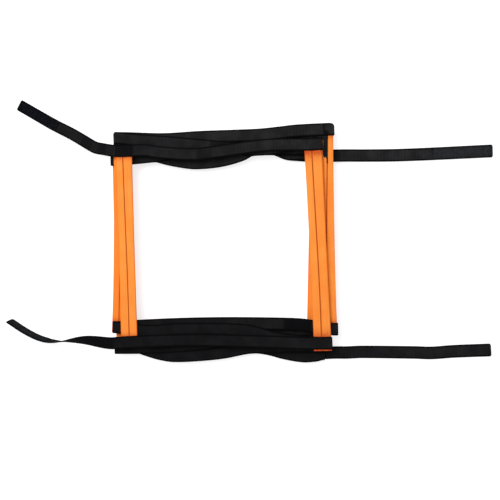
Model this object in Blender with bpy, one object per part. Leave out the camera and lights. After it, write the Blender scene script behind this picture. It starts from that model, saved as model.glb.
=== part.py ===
"""Ten-rung agility ladder laid back and forth in a pile.

Two webbing straps run to and fro in nine layers. Each odd layer carries a rung under either end.
Layer 1 is on top and starts in the two left tails, layer 9 lies on the floor and ends in the right ones.
Sizes are in metres, +X runs along the straps and +Y along the rungs.
"""
import math

import bmesh
import bpy
import numpy as np
from mathutils import Matrix, Vector

for leftover in list(bpy.data.objects):
    bpy.data.objects.remove(leftover, do_unlink=True)

# Air between pieces that touch.
CLEARANCE = 0.0003

# Rungs: a fabric sleeve round a stiff slat.
RUNG_WIDTH = 0.036
RUNG_LENGTH = 0.4242
SLEEVE_HEIGHT = 0.0048
SLEEVE_WALL = 0.0008
SEAM_WIDTH = 0.0012
SEAM_DEPTH = 0.0004
SEAM_OFFSET = -0.0022
SLAT_INSET = 0.0030
SLAT_CORNER = 0.0010
ROUND_STEPS = 6

# Side straps, sewn across the rungs' ends, a little past them.
STRAP_WIDTH = 0.0254
STRAP_THICKNESS = 0.0016
STRAP_OVERHANG = 0.0006
STRAP_SPACING = RUNG_LENGTH + 2.0 * STRAP_OVERHANG - STRAP_WIDTH
SELVAGE = 0.0006
STRAP_SAG = 0.0040
SPAN_STEPS = 30
FOLD_STEPS = 8

# The pile: two stacks of rungs, with the straps drooping between them.
LAYERS = 9
RUNG_SPACING = 0.418
SAG_MARGIN = 0.032
STACKS = {"left": -RUNG_SPACING / 2.0, "right": RUNG_SPACING / 2.0}

# Place of each rung: along X from its stack's line, along Y, and its turn from square in degrees.
RUNG_PLACES = {
    (1, "left"): (0.0115, 0.0067, 1.8),
    (1, "right"): (-0.0057, 0.0142, 2.8),
    (3, "left"): (-0.0050, 0.0367, -0.4),
    (3, "right"): (0.0110, 0.0415, 1.1),
    (5, "left"): (-0.0035, -0.0080, 1.3),
    (5, "right"): (-0.0034, 0.0050, -0.5),
    (7, "left"): (-0.0025, 0.0000, 1.2),
    (7, "right"): (-0.0086, -0.0105, -1.2),
    (9, "left"): (-0.0030, 0.0000, 1.3),
    (9, "right"): (0.0000, -0.0082, 0.0),
}

# Rungs that have slipped lengthwise under their straps, and a strap sewn on nearer the middle.
RUNG_SLIP = {(1, "right"): -0.0036}
CROSSING_SHIFT = {(1, "right", "upper"): -0.0030}

# How far each left fold's outer edge reaches past the rung under it.
LEFT_FOLD_REACH = {2: -0.0030, 4: 0.0035, 6: -0.0010, 8: -0.0010}

# Sideways wander of each strap length: share of the way between the stacks, and distance from straight.
WANDER = {
    (1, "upper"): [(0.127, -0.0010), (0.199, -0.0060), (0.378, -0.0120), (0.545, -0.0060),
                   (0.737, 0.0010)],
    (1, "lower"): [(0.354, 0.0050), (0.665, 0.0030)],
    (2, "upper"): [(0.079, -0.0030), (0.268, -0.0060), (0.529, -0.0120), (0.713, -0.0140)],
    (2, "lower"): [(0.127, -0.0030), (0.306, 0.0060), (0.641, 0.0120), (0.785, 0.0010)],
    (3, "upper"): [(0.211, -0.0063), (0.400, -0.0046), (0.579, -0.0050), (0.700, -0.0052),
                   (0.800, -0.0030), (0.880, -0.0006)],
    (3, "lower"): [(0.100, 0.0038), (0.250, 0.0070), (0.400, 0.0090), (0.600, 0.0102),
                   (0.850, 0.0097), (0.920, 0.0080)],
    (4, "upper"): [(0.641, -0.0040)],
    (4, "lower"): [(0.402, -0.0080), (0.785, 0.0040)],
    (5, "upper"): [(0.070, 0.0045), (0.127, 0.0075), (0.245, -0.0060), (0.350, -0.0150),
                   (0.420, -0.0161), (0.490, -0.0143), (0.550, -0.0102), (0.610, -0.0036),
                   (0.660, 0.0050), (0.830, 0.0030)],
    (5, "lower"): [(0.040, 0.0018), (0.075, 0.0010), (0.127, -0.0059), (0.185, -0.0130),
                   (0.260, -0.0180), (0.395, -0.0163), (0.515, -0.0114), (0.660, -0.0010)],
    (6, "upper"): [(0.672, 0.0070)],
    (6, "lower"): [(0.402, 0.0020)],
    (7, "upper"): [(0.127, 0.0030), (0.378, 0.0050), (0.665, 0.0177), (0.766, 0.0157),
                   (0.842, 0.0056), (0.905, 0.0057)],
    (7, "lower"): [(0.400, 0.0060), (0.690, 0.0060), (0.750, 0.0034), (0.820, -0.0027),
                   (0.910, -0.0067), (0.970, -0.0040)],
    (8, "upper"): [(0.378, 0.0035), (0.665, 0.0175), (0.766, 0.0164), (0.842, 0.0059),
                   (0.905, 0.0052)],
    (8, "lower"): [(0.682, 0.0082), (0.880, 0.0019)],
    (9, "upper"): [(0.070, 0.0010), (0.127, 0.0045), (0.378, 0.0030), (0.665, 0.0153),
                   (0.766, 0.0141), (0.842, 0.0032)],
    (9, "lower"): [(0.330, -0.0024), (0.665, 0.0063), (0.904, -0.0048)],
}

# Left tails, measured from where their strap crosses the top rung.
TAIL_OVERHANG = 0.0020
ROOT_LENGTH = 0.0250
ROOT_STEPS = 3
TAIL_DROP = 0.270
LEFT_TAIL_ROUTES = {
    "upper": [(-0.045, 0.0063), (-0.0636, 0.0106), (-0.0919, 0.0263), (-0.1208, 0.0424),
              (-0.166, 0.0648), (-0.1956, 0.0807), (-0.2582, 0.1157)],
    "lower": [(-0.0405, -0.0031), (-0.0995, 0.0007), (-0.171, -0.0051), (-0.2094, -0.0002),
              (-0.2475, 0.0144), (-0.2886, 0.0375)],
}
LEFT_TAIL_SHIFT = {"upper": 0.0025, "lower": -0.0006}
LEFT_TAIL_HEADING = {"upper": 8.0, "lower": -3.0}
TWIST = {"upper": 0.0, "lower": 102.0}
TWIST_START = 0.010
TWIST_LENGTH = 0.174

# Right tails, measured from where their strap crosses the bottom rung.
RIGHT_TAIL_START = 0.040
RIGHT_TAIL_RAMP = 0.045
RIGHT_TAIL_ROUTES = {
    "upper": [(0.1565, -0.0014), (0.334, 0.0025)],
    "lower": [(0.080, 0.0018), (0.1845, 0.0034), (0.217, 0.0033), (0.2595, 0.0075), (0.331, 0.0122)],
}
TAIL_STEPS = 26
TAIL_CORNER = 0.0030
END_ANGLES = (0.5, 1.0, math.pi / 2.0)

# Sewn onto the tails: hook tape on the left ones, loop tape under the right ones, and one bare patch.
# The turned tail shows its other face, so its hook tape is on that.
TAPE_THICKNESS = 0.0012
TAPE_STEP = 0.0002
HOOK_LENGTH = 0.105
LOOP_LENGTH = 0.112
PATCH_THICKNESS = 0.0007
PATCHED_ROW = "upper"
HOOK_ABOVE = {"upper": True, "lower": False}

# Fineness of the routes and of shading.
ROUTE_STEPS = 40
SHARP_ANGLE = 35.0
SAME_POINT = 1e-7

# Values that follow from the ones above.
STRAP_PITCH = STRAP_THICKNESS + CLEARANCE
RUNG_PITCH = SLEEVE_HEIGHT + 2.0 * CLEARANCE + STRAP_THICKNESS
WRAP_RADIUS = SLEEVE_HEIGHT / 2.0 + CLEARANCE + STRAP_THICKNESS / 2.0
TIGHT_RADIUS = STRAP_PITCH / 2.0
SIDES = {"upper": 1.0, "lower": -1.0}
UP = Vector((0.0, 0.0, 1.0))


def material(name, colour, roughness):
    made = bpy.data.materials.new(name)
    made.use_nodes = True
    shader = made.node_tree.nodes["Principled BSDF"]
    shader.inputs["Base Color"].default_value = (*colour, 1.0)
    shader.inputs["Roughness"].default_value = roughness
    shader.inputs["Metallic"].default_value = 0.0
    made.diffuse_color = (*colour, 1.0)
    return made


ORANGE = material("sleeve_fabric", (0.90, 0.23, 0.03), 0.75)
SLAT_GREY = material("slat_plastic", (0.70, 0.70, 0.68), 0.45)
WEBBING = material("strap_webbing", (0.012, 0.012, 0.014), 0.80)
TAIL = material("taped_webbing", (0.018, 0.019, 0.021), 0.85)


def ease(share):
    """Smooth step from 0 to 1."""
    held = min(max(share, 0.0), 1.0)
    return held * held * (3.0 - 2.0 * held)


def layer_height(layer):
    """Height of a layer's strap centre. Two layers share each rung's height."""
    lowest = SLEEVE_HEIGHT + CLEARANCE + STRAP_THICKNESS / 2.0
    steps = LAYERS - layer
    return lowest + (steps - steps // 2) * STRAP_PITCH + (steps // 2) * RUNG_PITCH


def rung_height(layer):
    """Height of the middle of the rungs that hang under an odd layer."""
    return layer_height(layer) - STRAP_THICKNESS / 2.0 - CLEARANCE - SLEEVE_HEIGHT / 2.0


def sag(x):
    """Droop of every strap between the two stacks."""
    start = STACKS["left"] + SAG_MARGIN
    share = min(max((x - start) / (RUNG_SPACING - 2.0 * SAG_MARGIN), 0.0), 1.0)
    return -STRAP_SAG * math.sin(math.pi * share) ** 2


class Station:
    """A rung's place: its middle, the direction along the straps and the direction along the rung."""

    def __init__(self, layer, side):
        x, y, turn = RUNG_PLACES[(layer, side)]
        angle = math.radians(turn)
        self.place = (layer, side)
        self.turn = angle
        self.middle = Vector((STACKS[side] + x, y, 0.0))
        self.along = Vector((math.cos(angle), math.sin(angle), 0.0))
        self.across = Vector((-math.sin(angle), math.cos(angle), 0.0))

    def crossing(self, row, forward=0.0):
        """Point on a strap's centre line, forward of the rung's middle."""
        reach = SIDES[row] * STRAP_SPACING / 2.0 + CROSSING_SHIFT.get((*self.place, row), 0.0)
        return self.middle + self.across * reach + self.along * forward


STATIONS = {place: Station(*place) for place in RUNG_PLACES}


def fold_station(fold):
    """The rung that a fold lies at: its own layer's on the right, the next layer's on the left."""
    if fold % 2:
        return STATIONS[(fold, "right")]
    return STATIONS[(fold + 1, "left")]


def fold_forward(fold):
    """Distance of a fold's axis from its rung's middle."""
    if fold % 2:
        return RUNG_WIDTH / 2.0 - SLEEVE_HEIGHT / 2.0
    edge = RUNG_WIDTH / 2.0 + LEFT_FOLD_REACH[fold]
    return -edge + TIGHT_RADIUS + STRAP_THICKNESS / 2.0


def fold_axis_height(fold):
    return (layer_height(fold) + layer_height(fold + 1)) / 2.0


def smooth_route(points, start_heading, end_heading, steps):
    """Points spaced evenly along a cubic through the given ones, with the headings there."""
    spots = np.array([point[:2] for point in points], dtype=float)
    knots = np.concatenate([[0.0], np.cumsum(np.linalg.norm(np.diff(spots, axis=0), axis=1))])
    slopes = np.zeros_like(spots)
    slopes[1:-1] = (spots[2:] - spots[:-2]) / (knots[2:] - knots[:-2])[:, None]
    slopes[0] = start_heading[:2]
    slopes[-1] = end_heading[:2] if end_heading else (spots[-1] - spots[-2]) / (knots[-1] - knots[-2])
    dense = []
    for index in range(len(spots) - 1):
        length = knots[index + 1] - knots[index]
        for share in np.linspace(0.0, 1.0, ROUTE_STEPS, endpoint=index == len(spots) - 2):
            square, cube = share ** 2, share ** 3
            dense.append((2 * cube - 3 * square + 1) * spots[index]
                         + (cube - 2 * square + share) * length * slopes[index]
                         + (3 * square - 2 * cube) * spots[index + 1]
                         + (cube - square) * length * slopes[index + 1])
    dense = np.array(dense)
    run = np.concatenate([[0.0], np.cumsum(np.linalg.norm(np.diff(dense, axis=0), axis=1))])
    stops = np.linspace(0.0, run[-1], steps + 1)
    route = np.column_stack([np.interp(stops, run, dense[:, 0]), np.interp(stops, run, dense[:, 1])])
    headings = np.gradient(route, stops, axis=0)
    headings[0] = slopes[0]
    headings[-1] = slopes[-1]
    headings /= np.linalg.norm(headings, axis=1)[:, None]
    return route, headings, stops


class Section:
    """A cross-section of a strap: its centre, the direction of its width and of its upper face."""

    def __init__(self, centre, across, normal):
        self.centre = centre
        self.across = across
        self.normal = normal


def sections_along(route, headings, heights, turns):
    """Sections from a plan route with its heights and its turn about its own length."""
    points = [Vector((spot[0], spot[1], height)) for spot, height in zip(route, heights)]
    sections = []
    for index, point in enumerate(points):
        before = points[max(index - 1, 0)]
        after = points[min(index + 1, len(points) - 1)]
        flat = Vector((after - before)[:2]).length
        heading = Vector((*headings[index], (after.z - before.z) / flat)).normalized()
        if heading.x < 0.0:
            heading = -heading
        level = UP.cross(heading).normalized()
        upright = heading.cross(level)
        turn = turns[index]
        across = level * math.cos(turn) + upright * math.sin(turn)
        normal = upright * math.cos(turn) - level * math.sin(turn)
        sections.append(Section(point, across, normal))
    return sections


def corners(section, width, above, below):
    """Outline of one section, with what is sewn above and below it. Its woven edges are thinner."""
    top = section.normal * (STRAP_THICKNESS / 2.0 + above)
    bottom = section.normal * (STRAP_THICKNESS / 2.0 + below)
    flat = section.across * (width / 2.0 - SELVAGE)
    tip = section.across * (width / 2.0)
    return [section.centre + flat + top, section.centre - flat + top, section.centre - tip,
            section.centre - flat - bottom, section.centre + flat - bottom, section.centre + tip]


def loft(shape, outlines):
    """Closed strip through a row of outlines with equal numbers of corners."""
    rings = [[shape.verts.new(corner) for corner in outline] for outline in outlines]
    for first, second in zip(rings, rings[1:]):
        for index in range(len(first)):
            following = (index + 1) % len(first)
            shape.faces.new((first[index], first[following], second[following], second[index]))
    shape.faces.new(list(reversed(rings[0])))
    shape.faces.new(rings[-1])


def finish_mesh(name, shape):
    bmesh.ops.recalc_face_normals(shape, faces=shape.faces)
    mesh = bpy.data.meshes.new(name)
    shape.to_mesh(mesh)
    shape.free()
    mesh.shade_smooth()
    mesh.set_sharp_from_angle(angle=math.radians(SHARP_ANGLE))
    return mesh


def add_object(name, mesh, surface, parent):
    made = bpy.data.objects.new(name, mesh)
    if not mesh.materials:
        mesh.materials.append(surface)
    bpy.context.collection.objects.link(made)
    made.parent = parent
    made.matrix_parent_inverse = parent.matrix_world.inverted()
    return made


def add_joint(name, point, axis, parent):
    """Empty on a joint's axis, with its local Y along that axis."""
    made = bpy.data.objects.new(name, None)
    made.empty_display_size = STRAP_WIDTH
    bpy.context.collection.objects.link(made)
    side = axis.cross(UP).normalized()
    turned = Matrix((side, axis, side.cross(axis))).transposed()
    made.matrix_world = Matrix.Translation(point) @ turned.to_4x4()
    if parent:
        made.parent = parent
        made.matrix_parent_inverse = parent.matrix_world.inverted()
    bpy.context.view_layer.update()
    return made


def add_strip(name, sections, surface, parent):
    """Strap of one thickness through a row of sections."""
    shape = bmesh.new()
    loft(shape, [corners(section, STRAP_WIDTH, 0.0, 0.0) for section in sections])
    return add_object(name, finish_mesh(name, shape), surface, parent)


def add_tail(name, sections, places, tape_length, above, below, parent):
    """Strap with rounded end corners and a thicker sewn stretch at its end."""
    shape = bmesh.new()
    tape_start = places[-1] - tape_length
    outlines = []
    for section, place in zip(sections, places):
        short = max(TAIL_CORNER - (places[-1] - place), 0.0)
        narrow = TAIL_CORNER - math.sqrt(TAIL_CORNER ** 2 - short ** 2)
        width = STRAP_WIDTH - 2.0 * narrow
        taped = place > tape_start
        outlines.append(corners(section, width, above * taped, below * taped))
    loft(shape, outlines)
    return add_object(name, finish_mesh(name, shape), TAIL, parent)


def rounded_outline(width, height, radius):
    """Corner points of a rounded rectangle in X and Z."""
    points = []
    for quarter, (sx, sz) in enumerate(((1, 1), (-1, 1), (-1, -1), (1, -1))):
        for step in range(ROUND_STEPS // 2 + 1):
            angle = math.pi / 2.0 * (quarter + 2.0 * step / ROUND_STEPS)
            points.append((sx * (width / 2.0 - radius) + radius * math.cos(angle),
                           sz * (height / 2.0 - radius) + radius * math.sin(angle)))
    merged = [points[0]]
    for point in points[1:]:
        if math.dist(point, merged[-1]) > SAME_POINT:
            merged.append(point)
    return merged


def sleeve_mesh():
    """Flat fabric tube, open at both ends, with a seam groove along its top face."""
    outer = rounded_outline(RUNG_WIDTH, SLEEVE_HEIGHT, SLEEVE_HEIGHT / 2.0)
    inner = rounded_outline(RUNG_WIDTH - 2.0 * SLEEVE_WALL, SLEEVE_HEIGHT - 2.0 * SLEEVE_WALL,
                            SLEEVE_HEIGHT / 2.0 - SLEEVE_WALL)
    top = SLEEVE_HEIGHT / 2.0
    near, far = SEAM_OFFSET + SEAM_WIDTH / 2.0, SEAM_OFFSET - SEAM_WIDTH / 2.0
    groove = [(near, top), (near, top - SEAM_DEPTH), (far, top - SEAM_DEPTH), (far, top)]
    turn = ROUND_STEPS // 2 + 1
    outer[turn:turn] = groove
    shape = bmesh.new()
    loops = []
    for outline in (outer, inner):
        ring = [shape.verts.new((x, -RUNG_LENGTH / 2.0, z)) for x, z in outline]
        loops += [shape.edges.new((ring[index - 1], ring[index])) for index in range(len(ring))]
    rim = bmesh.ops.bridge_loops(shape, edges=loops)["faces"]
    drawn = bmesh.ops.extrude_face_region(shape, geom=rim, use_keep_orig=True)["geom"]
    moved = [item for item in drawn if isinstance(item, bmesh.types.BMVert)]
    bmesh.ops.translate(shape, verts=moved, vec=(0.0, RUNG_LENGTH, 0.0))
    return finish_mesh("rung_sleeve", shape)


def slat_mesh():
    """Stiff slat that fills the sleeve but for the clearance all round."""
    width = RUNG_WIDTH - 2.0 * (SLEEVE_WALL + CLEARANCE)
    height = SLEEVE_HEIGHT - 2.0 * (SLEEVE_WALL + CLEARANCE)
    reach = RUNG_LENGTH / 2.0 - SLAT_INSET
    outline = rounded_outline(width, height, min(SLAT_CORNER, height / 2.0))
    shape = bmesh.new()
    loft(shape, [[(x, y, z) for x, z in outline] for y in (-reach, reach)])
    return finish_mesh("rung_slat", shape)


def span_ends(layer):
    """The stations at a layer's two ends and how far forward of them its strap starts and stops."""
    half_gap = CLEARANCE / 2.0
    if layer % 2:
        left, right = STATIONS[(layer, "left")], STATIONS[(layer, "right")]
        before, after = layer - 1, layer
    else:
        left, right = STATIONS[(layer + 1, "left")], STATIONS[(layer - 1, "right")]
        before, after = layer, layer - 1
    start = -RUNG_WIDTH / 2.0 - TAIL_OVERHANG if layer == 1 else fold_forward(before)
    stop = RIGHT_TAIL_START if layer == LAYERS else fold_forward(after)
    return left, start + half_gap, right, stop - half_gap


def span_sections(layer, row):
    """Sections of one strap length, from its left end to its right one."""
    left, start, right, stop = span_ends(layer)
    first = left.crossing(row, start)
    heading = left.along
    if layer == 1:
        first = left_tail_start(row) + left.along * (CLEARANCE / 2.0)
        heading = -left_tail_heading(row)
    last = right.crossing(row, stop)
    points = [first]
    for place, offset in WANDER[(layer, row)]:
        x = STACKS["left"] + place * RUNG_SPACING
        share = (x - first.x) / (last.x - first.x)
        points.append(first.lerp(last, share) + Vector((0.0, offset, 0.0)))
    points.append(last)
    route, headings, _ = smooth_route(points, heading, right.along, SPAN_STEPS)
    heights = [layer_height(layer) + sag(spot[0]) for spot in route]
    return sections_along(route, headings, heights, [0.0] * len(route))


def fold_sections(fold, row):
    """Sections round half a turn, from the upper layer to the lower one."""
    station = fold_station(fold)
    outward = station.along if fold % 2 else -station.along
    radius = WRAP_RADIUS if fold % 2 else TIGHT_RADIUS
    axis = station.crossing(row, fold_forward(fold)) + UP * fold_axis_height(fold)
    lead = math.asin(CLEARANCE / 2.0 / radius)
    sections = []
    for step in range(FOLD_STEPS + 1):
        angle = lead + (math.pi - 2.0 * lead) * step / FOLD_STEPS
        normal = outward * math.sin(angle) + UP * math.cos(angle)
        sections.append(Section(axis + normal * radius, station.across, normal))
    return sections


def left_tail_start(row):
    station = STATIONS[(1, "left")]
    forward = -RUNG_WIDTH / 2.0 - TAIL_OVERHANG
    return station.crossing(row, forward) + station.across * LEFT_TAIL_SHIFT[row]


def left_tail_heading(row):
    """Unit vector along a left tail where it leaves the top rung."""
    turn = STATIONS[(1, "left")].turn - math.radians(LEFT_TAIL_HEADING[row])
    return Vector((-math.cos(turn), -math.sin(turn), 0.0))


def tail_stops(length, tape_length):
    """Places along a tail, closer together at its tape's start and round its end corners."""
    tape_start = length - tape_length
    plain = np.linspace(0.0, tape_start, TAIL_STEPS // 2 + 1)
    taped = np.linspace(tape_start + TAPE_STEP, length - TAIL_CORNER, TAIL_STEPS // 2 + 1)
    rounded = [length - TAIL_CORNER * (1.0 - math.sin(angle)) for angle in END_ANGLES]
    return [*plain, *taped, *rounded]


def resample(route, stops, places):
    spots = np.column_stack([np.interp(places, stops, route[:, axis]) for axis in (0, 1)])
    headings = np.gradient(spots, np.array(places), axis=0)
    return spots, headings / np.linalg.norm(headings, axis=1)[:, None]


def left_tail_height(row, run, turn):
    """Height along a left tail: off the top layer, then resting on the floor at its turn."""
    lean = abs(math.cos(turn)) * (STRAP_THICKNESS / 2.0)
    if TWIST[row]:
        lean += abs(math.cos(turn)) * TAPE_THICKNESS
    rest = lean + abs(math.sin(turn)) * STRAP_WIDTH / 2.0
    top = layer_height(1)
    return top + (rest - top) * ease(run / TAIL_DROP)


def left_tail_sections(row):
    """Sections of a whole left tail, with the length along it at each."""
    origin = STATIONS[(1, "left")].crossing(row)
    start = left_tail_start(row)
    points = [start] + [origin + Vector((*spot, 0.0)) for spot in LEFT_TAIL_ROUTES[row]]
    route, _, stops = smooth_route(points, left_tail_heading(row), None, 4 * TAIL_STEPS)
    rest = [ROOT_LENGTH + place for place in tail_stops(stops[-1] - ROOT_LENGTH, HOOK_LENGTH)]
    places = [ROOT_LENGTH * step / ROOT_STEPS for step in range(ROOT_STEPS)] + rest
    spots, headings = resample(route, stops, places)
    headings[0] = left_tail_heading(row)[:2]
    turns = [math.radians(TWIST[row]) * ease((place - TWIST_START) / TWIST_LENGTH) for place in places]
    heights = [left_tail_height(row, place, turn) for place, turn in zip(places, turns)]
    return sections_along(spots, headings, heights, turns), places


def right_tail_sections(row):
    """Sections of a right tail, which drops to lie on its loop tape."""
    station = STATIONS[(LAYERS, "right")]
    start = station.crossing(row, RIGHT_TAIL_START)
    points = [start] + [station.crossing(row) + Vector((*spot, 0.0)) for spot in RIGHT_TAIL_ROUTES[row]]
    route, _, stops = smooth_route(points, station.along, None, 4 * TAIL_STEPS)
    places = tail_stops(stops[-1], LOOP_LENGTH)
    spots, headings = resample(route, stops, places)
    headings[0] = station.along[:2]
    top = layer_height(LAYERS)
    low = TAPE_THICKNESS + STRAP_THICKNESS / 2.0
    heights = [top + (low - top) * ease(place / RIGHT_TAIL_RAMP) for place in places]
    return sections_along(spots, headings, heights, [0.0] * len(places)), places


def cut_short(sections, distance):
    """The same row with its first section moved along by a distance."""
    heading = (sections[1].centre - sections[0].centre).normalized()
    first = sections[0]
    return [Section(first.centre + heading * distance, first.across, first.normal)] + sections[1:]


def build_joints():
    """Empties on the folds and tail hinges, each under the body that carries it."""
    joints = {"base": add_joint("base", Vector((0.0, 0.0, 0.0)), Vector((0.0, 1.0, 0.0)), None)}
    parent = joints["base"]
    for fold in range(LAYERS - 1, 0, -1):
        station = fold_station(fold)
        axis = station.across if fold % 2 else -station.across
        point = station.middle + station.along * fold_forward(fold) + UP * fold_axis_height(fold)
        parent = add_joint(f"layer_{fold}", point, axis, parent)
        joints[f"layer_{fold}"] = parent
    return joints


def build_rungs(joints):
    sleeve, slat = sleeve_mesh(), slat_mesh()
    for index, (layer, side) in enumerate(RUNG_PLACES):
        station = STATIONS[(layer, side)]
        body = joints["base"] if layer == LAYERS else joints[f"layer_{layer}"]
        slip = station.across * RUNG_SLIP.get((layer, side), 0.0)
        for part, mesh, surface in (("sleeve", sleeve, ORANGE), ("slat", slat, SLAT_GREY)):
            piece = add_object(f"rung_{index + 1:02d}_{part}", mesh, surface, body)
            piece.location = station.middle + slip + UP * rung_height(layer)
            piece.rotation_euler = (0.0, 0.0, station.turn)


def build_straps(joints):
    for layer in range(1, LAYERS + 1):
        body = joints["base"] if layer == LAYERS else joints[f"layer_{layer}"]
        for row in SIDES:
            add_strip(f"strap_{row}_{layer}", span_sections(layer, row), WEBBING, body)


def build_folds(joints):
    """Both bends of each fold, carried by the layer whose rung they lie at."""
    for fold in range(1, LAYERS):
        carrier = fold if fold % 2 else fold + 1
        body = joints["base"] if carrier == LAYERS else joints[f"layer_{carrier}"]
        for row in SIDES:
            add_strip(f"fold_{row}_{fold}", fold_sections(fold, row), WEBBING, body)


def hinge_point(section):
    """A tail bends about a line just over its upper face."""
    return section.centre + section.normal * (STRAP_THICKNESS / 2.0 + CLEARANCE)


def build_left_tails(joints):
    """Root and tail of each left end, with hook tape on the face that shows."""
    for row in SIDES:
        sections, places = left_tail_sections(row)
        root_joint = add_joint(f"root_left_{row}_joint", hinge_point(sections[0]), sections[0].across,
                               joints["layer_1"])
        tail_joint = add_joint(f"tail_left_{row}_joint", hinge_point(sections[ROOT_STEPS]),
                               sections[ROOT_STEPS].across, root_joint)
        root = cut_short(sections[:ROOT_STEPS + 1], CLEARANCE / 2.0)
        root = cut_short(root[::-1], CLEARANCE / 2.0)[::-1]
        add_strip(f"root_left_{row}", root, WEBBING, root_joint)
        above, below = (TAPE_THICKNESS, 0.0) if HOOK_ABOVE[row] else (0.0, TAPE_THICKNESS)
        add_tail(f"tail_left_{row}", cut_short(sections[ROOT_STEPS:], CLEARANCE / 2.0),
                 places[ROOT_STEPS:], HOOK_LENGTH, above, below, tail_joint)


def build_right_tails(joints):
    """Tail of each right end, with loop tape under it and the bare patch on the upper one."""
    for row in SIDES:
        sections, places = right_tail_sections(row)
        joint = add_joint(f"tail_right_{row}_joint", hinge_point(sections[0]), -sections[0].across,
                          joints["base"])
        patch = PATCH_THICKNESS if row == PATCHED_ROW else 0.0
        add_tail(f"tail_right_{row}", cut_short(sections, CLEARANCE / 2.0), places, LOOP_LENGTH,
                 patch, TAPE_THICKNESS, joint)


def centre_on_floor(base):
    """Slide the whole ladder so that its box stands on the floor round the origin."""
    bpy.context.view_layer.update()
    solids = [item for item in bpy.data.objects if item.type == "MESH"]
    spots = np.array([item.matrix_world @ vertex.co for item in solids for vertex in item.data.vertices])
    low, high = spots.min(axis=0), spots.max(axis=0)
    middle = (low + high) / 2.0
    base.location -= Vector((middle[0], middle[1], low[2]))
    bpy.context.view_layer.update()


bodies = build_joints()
build_rungs(bodies)
build_straps(bodies)
build_folds(bodies)
build_left_tails(bodies)
build_right_tails(bodies)
centre_on_floor(bodies["base"])
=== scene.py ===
import math

import bpy
import numpy as np
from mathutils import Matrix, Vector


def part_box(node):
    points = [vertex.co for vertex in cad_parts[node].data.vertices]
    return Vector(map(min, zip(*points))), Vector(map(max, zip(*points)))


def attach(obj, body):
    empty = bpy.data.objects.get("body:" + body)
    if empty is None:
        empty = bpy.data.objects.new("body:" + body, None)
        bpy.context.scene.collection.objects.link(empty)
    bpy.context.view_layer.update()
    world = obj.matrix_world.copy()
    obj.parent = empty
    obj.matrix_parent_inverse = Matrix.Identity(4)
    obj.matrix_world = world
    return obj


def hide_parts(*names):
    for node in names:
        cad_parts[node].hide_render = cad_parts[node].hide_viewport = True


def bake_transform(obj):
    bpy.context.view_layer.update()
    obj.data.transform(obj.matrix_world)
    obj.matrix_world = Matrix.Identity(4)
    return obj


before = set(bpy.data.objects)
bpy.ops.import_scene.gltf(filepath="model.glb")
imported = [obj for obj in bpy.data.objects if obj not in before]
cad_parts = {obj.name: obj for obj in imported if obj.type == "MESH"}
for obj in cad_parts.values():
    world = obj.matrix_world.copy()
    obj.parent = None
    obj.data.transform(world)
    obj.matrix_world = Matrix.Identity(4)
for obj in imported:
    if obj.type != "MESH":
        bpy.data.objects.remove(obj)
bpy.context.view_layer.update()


# The room: a pale floor that shows white to the camera but keeps the ladder's shadow, one broad
# soft lamp above the pile and an even white world. The camera looks almost straight down, leaning
# towards the right-hand tails, from where the whole ladder fills the picture.
CAMERA_DISTANCE = 1.450
CAMERA_LEAN = math.radians(10.3)
FOCAL_LENGTH = 50.0
SENSOR_WIDTH = 36.0
AIM_FROM_BOTTOM_RUNG = (-0.150, 0.0082)
FLOOR_HALF = 6.0
FLOOR_DROP = 0.0003
FLOOR_GREY = (0.50, 0.50, 0.50, 1.0)
FLOOR_GLOW = 0.74
WORLD_LEVEL = 0.52
LAMP_PLACE = (-0.55, 0.75, 1.90)
LAMP_SIZE = 1.6
LAMP_POWER = 34.0
BLACK = (0.0, 0.0, 0.0, 1.0)
WHITE = (1.0, 1.0, 1.0, 1.0)


class Wire:
    """A node's output that takes part in Python expressions. Each operator adds a Math node."""

    def __init__(self, bench, socket):
        self.bench = bench
        self.socket = socket

    def maths(self, operation, *values):
        return self.bench.node("ShaderNodeMath", {"operation": operation}, dict(enumerate(values)))

    def __add__(self, other):
        return self.maths("ADD", self, other)

    def __sub__(self, other):
        return self.maths("SUBTRACT", self, other)

    def __mul__(self, other):
        return self.maths("MULTIPLY", self, other)

    def __rsub__(self, other):
        return self.maths("SUBTRACT", other, self)

    __radd__ = __add__
    __rmul__ = __mul__

    def wave(self, pitch):
        """Sine from 0 to 1 that repeats every pitch."""
        return self.maths("SINE", self * (2.0 * math.pi / pitch), 0.0) * 0.5 + 0.5

    def size(self):
        return self.maths("ABSOLUTE", self, 0.0)

    def power(self, exponent):
        return self.maths("POWER", self, exponent)

    def between(self, low, high):
        """Smooth step from 0 at low to 1 at high."""
        settings = {"interpolation_type": "SMOOTHSTEP"}
        sockets = {"Value": self, "From Min": low, "From Max": high}
        return self.bench.node("ShaderNodeMapRange", settings, sockets)


class Bench:
    """One node tree, on which nodes are set up and wired together."""

    def __init__(self, tree):
        self.tree = tree

    def node(self, kind, settings=None, sockets=None, output=0):
        """Any node: its settings first, then its sockets as values or links."""
        made = self.tree.nodes.new(kind)
        for setting, value in (settings or {}).items():
            setattr(made, setting, value)
        for socket, value in (sockets or {}).items():
            if isinstance(value, Wire):
                self.tree.links.new(value.socket, made.inputs[socket])
            else:
                made.inputs[socket].default_value = value
        return Wire(self, made.outputs[output])


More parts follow.
